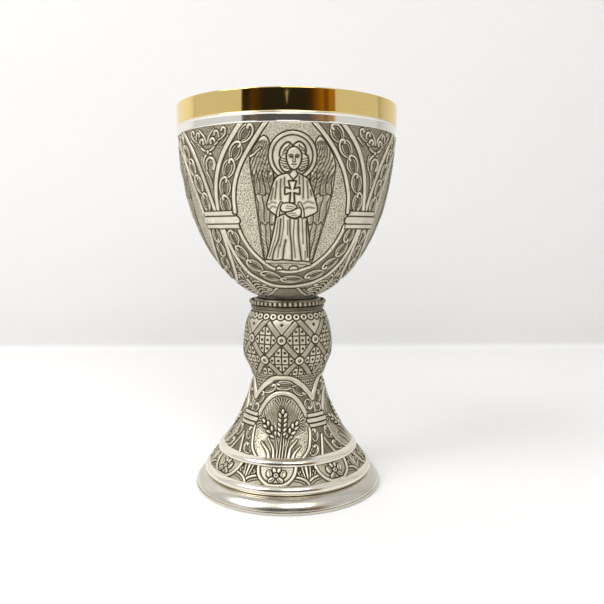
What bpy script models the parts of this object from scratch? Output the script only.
"""A communion chalice: a gilt cup in a chased silver shell, on a knop and a flared foot.

The shells and rings are stacked on one threaded rod, which is fixed under the cup and held by a nut
inside the foot. Units are metres. The object stands on z = 0 and its axis is the Z axis.
"""

import math

import bmesh
import bpy

# ---------------------------------------------------------------- driving dimensions

HEIGHT = 0.170
RIM_RADIUS = 0.0485
BASE_RADIUS = 0.0428

FIT_GAP = 0.0003  # left between pieces that touch
SEGMENTS = 48  # facets round a large turned piece
SMALL_SEGMENTS = 24  # facets round a small turned piece
SHARP_ANGLE = math.radians(35)

# Levels where one piece ends and the next begins, from the table up.
BASE_RING_TOP = 0.0061
LOWER_RING_TOP = 0.0102
BORDER_TOP = 0.0174
UPPER_RING_TOP = 0.0197
WAIST = 0.0500
PEDESTAL_TOP = 0.0814
KNOP_RING_TOP = 0.0829
BEAD_RING_TOP = 0.0855
COLLAR_TOP = 0.0888
CALYX_TOP = 0.1570
RIM_BAND_TOP = 0.1614

# The bowl is a superellipse of revolution, whose widest level lies above the rim.
BOWL_HALF_WIDTH = 0.0490
BOWL_HALF_HEIGHT = 0.1050
BOWL_WIDEST_LEVEL = 0.1882
BOWL_HEIGHT_POWER = 3.05
BOWL_WIDTH_POWER = 1.82

CALYX_WALL = 0.0010
CUP_WALL = 0.0009
CUP_FLOOR = 0.0931  # underside of the cup's flat middle
CUP_FLAT_RADIUS = 0.0100
CUP_TURN_LEVEL = 0.0975  # the cup leaves the bowl's curve here and turns to its flat middle
RIM_INNER_RADIUS = 0.0475
LIP_ROUND = 0.0004

BAND_INNER_RADIUS = 0.0474
BAND_RADIUS = 0.0481
BAND_LIP = 0.0006

PEDESTAL_WALL = 0.0014
WAIST_RADIUS = 0.0160
PEDESTAL_MOUTH_RADIUS = 0.0132
WEB_TOP = 0.0490
WEB_BOTTOM = 0.0470
BORDER_WALL = 0.0012
BASE_INNER_RADIUS = 0.0385
BASE_SHELF_UNDERSIDE = 0.0046
LOWER_RING_INNER_RADIUS = 0.0354
UPPER_RING_INNER_RADIUS = 0.0284

COLLAR_RADIUS = 0.0162
COLLAR_CORE_RADIUS = 0.0152
COLLAR_SPIGOT_RADIUS = 0.0129
COLLAR_SPIGOT_BOTTOM = 0.0795

BEAD_COUNT = 48
BEAD_RADIUS = 0.00108
BEAD_NECK_RADIUS = 0.00055
BEAD_CIRCLE_RADIUS = 0.0166
BEAD_STEPS = 3  # columns for each bead
BEAD_SIDES = 6

ROD_RADIUS = 0.0030
ROD_TOP = 0.0918
ROD_BOTTOM = 0.0365
ROD_CHAMFER = 0.0005
CLEAR_RADIUS = ROD_RADIUS + FIT_GAP  # every hole that the rod passes through

STUD_PLATE_RADIUS = 0.0090
STUD_PLATE_BOTTOM = 0.0904
STUD_PLATE_TOP = 0.0927

WASHER_RADIUS = 0.0100
WASHER_THICKNESS = 0.0014
SPRING_WASHER_RADIUS = 0.0054
SPRING_WASHER_THICKNESS = 0.0016
SPRING_WASHER_SLIT = 0.0006
NUT_ACROSS_FLATS = 0.0100
NUT_HEIGHT = 0.0050

SILVER = (0.80, 0.78, 0.73)
OLD_SILVER = (0.50, 0.47, 0.41)
GOLD = (0.86, 0.66, 0.32)
STEEL = (0.55, 0.55, 0.56)


# ---------------------------------------------------------------- helpers

def clear_scene():
    for obj in list(bpy.data.objects):
        bpy.data.objects.remove(obj, do_unlink=True)


def metal(name, colour, roughness):
    material = bpy.data.materials.new(name)
    material.use_nodes = True
    shader = material.node_tree.nodes["Principled BSDF"]
    shader.inputs["Base Color"].default_value = (*colour, 1)
    shader.inputs["Metallic"].default_value = 1.0
    shader.inputs["Roughness"].default_value = roughness
    material.diffuse_color = (*colour, 1)
    return material


def new_object(name, mesh, material):
    mesh.materials.append(material)
    mesh.shade_smooth()
    mesh.set_sharp_from_angle(angle=SHARP_ANGLE)
    obj = bpy.data.objects.new(name, mesh)
    bpy.context.collection.objects.link(obj)
    return obj


def turned(name, outline, material, segments=SEGMENTS):
    """A lathe piece. The outline's (radius, height) points run down the outer side and back up the
    inner side, or start and end on the axis."""
    solid = bmesh.new()
    points = [solid.verts.new((radius, 0, height)) for radius, height in outline]
    on_axis = outline[0][0] == 0 and outline[-1][0] == 0
    ends = points[1:] if on_axis else points[1:] + points[:1]
    edges = [solid.edges.new(pair) for pair in zip(points, ends)]
    bmesh.ops.spin(solid, geom=points + edges, cent=(0, 0, 0), axis=(0, 0, 1),
                   angle=math.tau, steps=segments, use_merge=True)
    bmesh.ops.remove_doubles(solid, verts=solid.verts, dist=1e-6)
    bmesh.ops.recalc_face_normals(solid, faces=solid.faces)
    mesh = bpy.data.meshes.new(name)
    solid.to_mesh(mesh)
    solid.free()
    return new_object(name, mesh, material)


def add_boolean(obj, cutter, operation):
    cutter.hide_render = True
    cutter.display_type = "WIRE"
    boolean = obj.modifiers.new(operation.title(), "BOOLEAN")
    boolean.object = cutter
    boolean.operation = operation


def curve_through(points, steps):
    """Points on a Catmull-Rom curve through the given ones, with `steps` pieces between each two."""
    first = [2 * a - b for a, b in zip(points[0], points[1])]
    last = [2 * a - b for a, b in zip(points[-1], points[-2])]
    knots = [first, *points, last]
    curve = []
    for before, start, end, after in zip(knots, knots[1:], knots[2:], knots[3:]):
        for step in range(steps):
            t = step / steps
            curve.append(tuple(
                0.5 * (2 * b + (c - a) * t + (2 * a - 5 * b + 4 * c - d) * t**2
                       + (3 * b - a - 3 * c + d) * t**3)
                for a, b, c, d in zip(before, start, end, after)))
    return [*curve, tuple(points[-1])]


def inset(outline, distance):
    """The outline moved towards the axis, square to itself. It runs from top to bottom."""
    moved = []
    for index, (radius, height) in enumerate(outline):
        before = outline[max(index - 1, 0)]
        after = outline[min(index + 1, len(outline) - 1)]
        along, down = after[0] - before[0], after[1] - before[1]
        length = math.hypot(along, down)
        moved.append((radius + distance * down / length, height - distance * along / length))
    return moved


# ---------------------------------------------------------------- outlines that pieces share

def bowl_radius(height):
    drop = (BOWL_WIDEST_LEVEL - height) / BOWL_HALF_HEIGHT
    return BOWL_HALF_WIDTH * (1 - drop**BOWL_HEIGHT_POWER) ** (1 / BOWL_WIDTH_POWER)


def bowl_side(top, bottom, count):
    """Points on the bowl from top to bottom, closer together towards the bottom, where it curves."""
    side = []
    for index in range(count):
        share = math.sin(math.pi / 2 * index / (count - 1))
        height = top + (bottom - top) * share
        side.append((bowl_radius(height), height))
    return side


def knop_side(steps):
    return curve_through([(0.0161, PEDESTAL_TOP), (0.0189, 0.0760), (0.0201, 0.0690),
                          (0.0205, 0.0615), (0.0183, 0.0555), (WAIST_RADIUS, WAIST)], steps)


def cone_side(steps):
    return curve_through([(WAIST_RADIUS, WAIST), (0.0184, 0.0420), (0.0213, 0.0340),
                          (0.0255, 0.0260), (0.0298, UPPER_RING_TOP + FIT_GAP)], steps)


# ---------------------------------------------------------------- the cup and its shells

def make_gilt_cup(material):
    """The spun cup. Only its rim shows outside, over the band and the chased shell."""
    wall_inset = CALYX_WALL + 2 * FIT_GAP
    side = inset(bowl_side(RIM_BAND_TOP, CUP_TURN_LEVEL, 8), wall_inset)
    floor = (CUP_FLAT_RADIUS, CUP_FLOOR)
    turn = ((side[-1][0] + floor[0]) / 2 + 0.001, (side[-1][1] + floor[1]) / 2 - 0.0006)
    outer = [(side[0][0], RIM_BAND_TOP), *side[1:], turn, floor]
    inner = inset(outer, CUP_WALL)
    rim = [(RIM_INNER_RADIUS, HEIGHT - LIP_ROUND), (RIM_INNER_RADIUS + LIP_ROUND, HEIGHT),
           (RIM_RADIUS - LIP_ROUND, HEIGHT), (RIM_RADIUS, HEIGHT - LIP_ROUND),
           (RIM_RADIUS, RIM_BAND_TOP)]
    floor_top = CUP_FLOOR + CUP_WALL
    outline = [(0, floor_top), (CUP_FLAT_RADIUS - CUP_WALL / 2, floor_top), *reversed(inner[:-1]),
               *rim, *outer, (0, CUP_FLOOR)]
    return turned("gilt_cup", outline, material)


def make_rim_band(material):
    """The plain silver band under the gilt rim, with a small raised lip along its top."""
    top = RIM_BAND_TOP - FIT_GAP
    bottom = CALYX_TOP
    outline = [(RIM_RADIUS, top), (RIM_RADIUS, top - BAND_LIP), (BAND_RADIUS, top - 2 * BAND_LIP),
               (BAND_RADIUS, bottom + BAND_LIP), (BAND_RADIUS - BAND_LIP / 2, bottom),
               (BAND_INNER_RADIUS, bottom), (BAND_INNER_RADIUS, top)]
    return turned("rim_band", outline, material)


def make_calyx_shell(material):
    """The chased shell round the cup, with a flat bottom and a hole for the rod."""
    bottom = COLLAR_TOP + FIT_GAP
    outer = bowl_side(CALYX_TOP - FIT_GAP, bottom, 10)
    inner = inset(outer, CALYX_WALL)[:-1]
    inner[0] = (inner[0][0], outer[0][1])
    floor_top = bottom + CALYX_WALL
    outline = [*outer, (CLEAR_RADIUS, bottom), (CLEAR_RADIUS, floor_top),
               (outer[-1][0] - CALYX_WALL, floor_top), *reversed(inner)]
    return turned("calyx_shell", outline, material)


def make_stud_plate(material):
    """The plate soldered under the cup, with a blind threaded hole for the rod."""
    hole_top = ROD_TOP + FIT_GAP
    outline = [(0, STUD_PLATE_TOP), (STUD_PLATE_RADIUS, STUD_PLATE_TOP),
               (STUD_PLATE_RADIUS, STUD_PLATE_BOTTOM), (CLEAR_RADIUS, STUD_PLATE_BOTTOM),
               (CLEAR_RADIUS, hole_top), (0, hole_top)]
    return turned("stud_plate", outline, material, SMALL_SEGMENTS)


# ---------------------------------------------------------------- the neck and the pedestal

def make_neck_collar(material):
    """The turned collar under the bowl. Its spigot centres it in the pedestal's mouth."""
    core_top = BEAD_RING_TOP + FIT_GAP
    core_bottom = KNOP_RING_TOP + FIT_GAP
    outline = [(CLEAR_RADIUS, COLLAR_TOP), (COLLAR_RADIUS, COLLAR_TOP), (COLLAR_RADIUS, core_top),
               (COLLAR_CORE_RADIUS, core_top), (COLLAR_CORE_RADIUS, core_bottom),
               (COLLAR_SPIGOT_RADIUS, core_bottom), (COLLAR_SPIGOT_RADIUS, COLLAR_SPIGOT_BOTTOM),
               (CLEAR_RADIUS, COLLAR_SPIGOT_BOTTOM)]
    return turned("neck_collar", outline, material)


def make_bead_ring(material):
    """A beaded wire bent to a ring: a tube whose radius swells at each bead."""
    columns = BEAD_COUNT * BEAD_STEPS
    pitch = math.tau * BEAD_CIRCLE_RADIUS / BEAD_COUNT
    middle = (KNOP_RING_TOP + BEAD_RING_TOP + FIT_GAP) / 2
    solid = bmesh.new()
    rings = []
    for column in range(columns):
        angle = math.tau * column / columns
        from_bead = abs((column % BEAD_STEPS) / BEAD_STEPS - round((column % BEAD_STEPS) / BEAD_STEPS))
        swell = math.sqrt(max(BEAD_RADIUS**2 - (from_bead * pitch) ** 2, 0))
        tube_radius = max(BEAD_NECK_RADIUS, swell)
        ring = []
        for side in range(BEAD_SIDES):
            turn = math.tau * side / BEAD_SIDES
            radius = BEAD_CIRCLE_RADIUS + tube_radius * math.cos(turn)
            height = middle + tube_radius * math.sin(turn)
            ring.append(solid.verts.new((radius * math.cos(angle), radius * math.sin(angle), height)))
        rings.append(ring)
    for ring, following in zip(rings, rings[1:] + rings[:1]):
        for side in range(BEAD_SIDES):
            above = (side + 1) % BEAD_SIDES
            solid.faces.new((ring[side], following[side], following[above], ring[above]))
    bmesh.ops.recalc_face_normals(solid, faces=solid.faces)
    mesh = bpy.data.meshes.new("bead_ring")
    solid.to_mesh(mesh)
    solid.free()
    return new_object("bead_ring", mesh, material)


def make_knop_top_ring(material):
    """The double fillet that lies on the pedestal's mouth, under the beads."""
    bottom = PEDESTAL_TOP + FIT_GAP
    middle = (KNOP_RING_TOP + bottom) / 2
    outline = [(COLLAR_CORE_RADIUS, KNOP_RING_TOP), (0.0164, KNOP_RING_TOP - 0.0001),
               (0.0167, (KNOP_RING_TOP + middle) / 2), (0.0163, middle),
               (0.0167, (middle + bottom) / 2), (0.0164, bottom),
               (PEDESTAL_MOUTH_RADIUS, bottom), (PEDESTAL_MOUTH_RADIUS, KNOP_RING_TOP)]
    return turned("knop_top_ring", outline, material)


def make_pedestal_shell(material):
    """The knop and the flared cone, one hollow casting, with a web across its waist for the nut."""
    cone = cone_side(2)
    knop_inner = inset(knop_side(1), PEDESTAL_WALL)[1:-1]
    cone_inner = inset(cone_side(1), PEDESTAL_WALL)[1:]
    cone_inner[-1] = (cone_inner[-1][0], cone[-1][1])
    web_radius = WAIST_RADIUS - PEDESTAL_WALL
    outline = [*knop_side(2), *cone[1:], *reversed(cone_inner), (web_radius, WEB_BOTTOM),
               (CLEAR_RADIUS, WEB_BOTTOM), (CLEAR_RADIUS, WEB_TOP), (web_radius, WEB_TOP),
               *reversed(knop_inner), (PEDESTAL_MOUTH_RADIUS, COLLAR_SPIGOT_BOTTOM),
               (PEDESTAL_MOUTH_RADIUS, PEDESTAL_TOP)]
    return turned("pedestal_shell", outline, material)


# ---------------------------------------------------------------- the foot

def make_upper_foot_ring(material):
    """The polished half-round ring where the cone meets the flower border."""
    top = UPPER_RING_TOP
    bottom = BORDER_TOP + FIT_GAP
    outline = [(0.0293, top), (0.0304, top - 0.0003), (0.0311, (top + bottom) / 2),
               (0.0313, bottom + 0.0003), (0.0309, bottom),
               (UPPER_RING_INNER_RADIUS, bottom), (UPPER_RING_INNER_RADIUS, top)]
    return turned("upper_foot_ring", outline, material)


def make_flower_border(material):
    """The sloping band of flowers."""
    bottom = LOWER_RING_TOP + FIT_GAP
    outer = [(0.0310, BORDER_TOP), (0.0327, 0.0157), (0.0350, 0.0130), (0.0366, bottom)]
    inner = inset(outer, BORDER_WALL)
    inner[0] = (inner[0][0], BORDER_TOP)
    inner[-1] = (inner[-1][0], bottom)
    return turned("flower_border", [*outer, *reversed(inner)], material)


def make_lower_foot_ring(material):
    """The polished rounded ring below the border, with a groove under it."""
    bottom = BASE_RING_TOP + FIT_GAP
    outline = [(0.0368, LOWER_RING_TOP), (0.0379, 0.0097), (0.0385, 0.0086), (0.0384, 0.0074),
               (0.0376, bottom), (LOWER_RING_INNER_RADIUS, bottom),
               (LOWER_RING_INNER_RADIUS, LOWER_RING_TOP)]
    return turned("lower_foot_ring", outline, material)


def make_base_ring(material):
    """The brushed ring that the chalice stands on, flat underneath, with a shelf inside its top
    that carries the ring above."""
    outline = [(0.0386, BASE_RING_TOP), (0.0402, 0.0053), (0.0415, 0.0040), (0.0426, 0.0020),
               (BASE_RADIUS, 0.0009), (0.0424, 0), (BASE_INNER_RADIUS, 0),
               (BASE_INNER_RADIUS, BASE_SHELF_UNDERSIDE),
               (LOWER_RING_INNER_RADIUS, BASE_SHELF_UNDERSIDE),
               (LOWER_RING_INNER_RADIUS, BASE_RING_TOP)]
    return turned("base_ring", outline, material)


# ---------------------------------------------------------------- the fixings inside

def make_tie_rod(material):
    """The threaded rod, from the plate under the cup down through the web."""
    outline = [(0, ROD_TOP), (ROD_RADIUS - ROD_CHAMFER, ROD_TOP),
               (ROD_RADIUS, ROD_TOP - ROD_CHAMFER), (ROD_RADIUS, ROD_BOTTOM + ROD_CHAMFER),
               (ROD_RADIUS - ROD_CHAMFER, ROD_BOTTOM), (0, ROD_BOTTOM)]
    return turned("tie_rod", outline, material, SMALL_SEGMENTS)


def make_washer(name, top, radius, thickness, material):
    outline = [(CLEAR_RADIUS, top), (radius, top), (radius, top - thickness),
               (CLEAR_RADIUS, top - thickness)]
    return turned(name, outline, material, SMALL_SEGMENTS)


def make_spring_washer(top, material):
    """A split lock washer: a ring cut through by a slanting saw."""
    washer = make_washer("spring_washer", top, SPRING_WASHER_RADIUS, SPRING_WASHER_THICKNESS, material)
    mesh = bpy.data.meshes.new("spring_washer_saw")
    saw = bmesh.new()
    bmesh.ops.create_cube(saw, size=1)
    bmesh.ops.scale(saw, verts=saw.verts, vec=(SPRING_WASHER_RADIUS, SPRING_WASHER_SLIT, 0.006))
    saw.to_mesh(mesh)
    saw.free()
    cutter = new_object("spring_washer_saw", mesh, material)
    cutter.location = (SPRING_WASHER_RADIUS, 0, top - SPRING_WASHER_THICKNESS / 2)
    cutter.rotation_euler = (math.radians(35), 0, 0)
    add_boolean(washer, cutter, "DIFFERENCE")
    return washer


def make_clamp_nut(top, material):
    """A hexagon nut with chamfered corners, which clamps the whole stack."""
    corner_radius = NUT_ACROSS_FLATS / math.sqrt(3)
    flat_radius = NUT_ACROSS_FLATS / 2
    mesh = bpy.data.meshes.new("clamp_nut")
    hexagon = bmesh.new()
    bmesh.ops.create_cone(hexagon, cap_ends=True, segments=6, radius1=corner_radius,
                          radius2=corner_radius, depth=NUT_HEIGHT)
    bmesh.ops.translate(hexagon, verts=hexagon.verts, vec=(0, 0, top - NUT_HEIGHT / 2))
    hexagon.to_mesh(mesh)
    hexagon.free()
    nut = new_object("clamp_nut", mesh, material)
    chamfer = corner_radius - flat_radius
    bottom = top - NUT_HEIGHT
    bored_lens = turned("clamp_nut_chamfer", [
        (CLEAR_RADIUS, top + FIT_GAP), (flat_radius - chamfer, top + FIT_GAP),
        (corner_radius + chamfer, top - chamfer), (corner_radius + chamfer, bottom + chamfer),
        (flat_radius - chamfer, bottom - FIT_GAP), (CLEAR_RADIUS, bottom - FIT_GAP),
    ], material, SMALL_SEGMENTS)
    add_boolean(nut, bored_lens, "INTERSECT")
    return nut


# ---------------------------------------------------------------- the whole chalice

def main():
    clear_scene()
    make_gilt_cup(metal("gilt", GOLD, 0.12))
    make_rim_band(metal("band_silver", SILVER, 0.15))
    make_calyx_shell(metal("calyx_chased_silver", OLD_SILVER, 0.42))
    make_stud_plate(metal("stud_plate_silver", SILVER, 0.35))
    make_neck_collar(metal("collar_dark_silver", OLD_SILVER, 0.40))
    make_bead_ring(metal("bead_silver", OLD_SILVER, 0.32))
    make_knop_top_ring(metal("fillet_silver", SILVER, 0.25))
    make_pedestal_shell(metal("pedestal_chased_silver", OLD_SILVER, 0.42))
    make_upper_foot_ring(metal("upper_ring_silver", SILVER, 0.12))
    make_flower_border(metal("border_chased_silver", OLD_SILVER, 0.42))
    make_lower_foot_ring(metal("lower_ring_silver", SILVER, 0.12))
    make_base_ring(metal("base_brushed_silver", SILVER, 0.28))
    make_tie_rod(metal("rod_steel", STEEL, 0.35))

    washer_top = WEB_BOTTOM - FIT_GAP
    spring_top = washer_top - WASHER_THICKNESS - FIT_GAP
    nut_top = spring_top - SPRING_WASHER_THICKNESS - FIT_GAP
    make_washer("pressure_washer", washer_top, WASHER_RADIUS, WASHER_THICKNESS,
                metal("washer_steel", STEEL, 0.35))
    make_spring_washer(spring_top, metal("spring_steel", STEEL, 0.40))
    make_clamp_nut(nut_top, metal("nut_steel", STEEL, 0.35))


main()
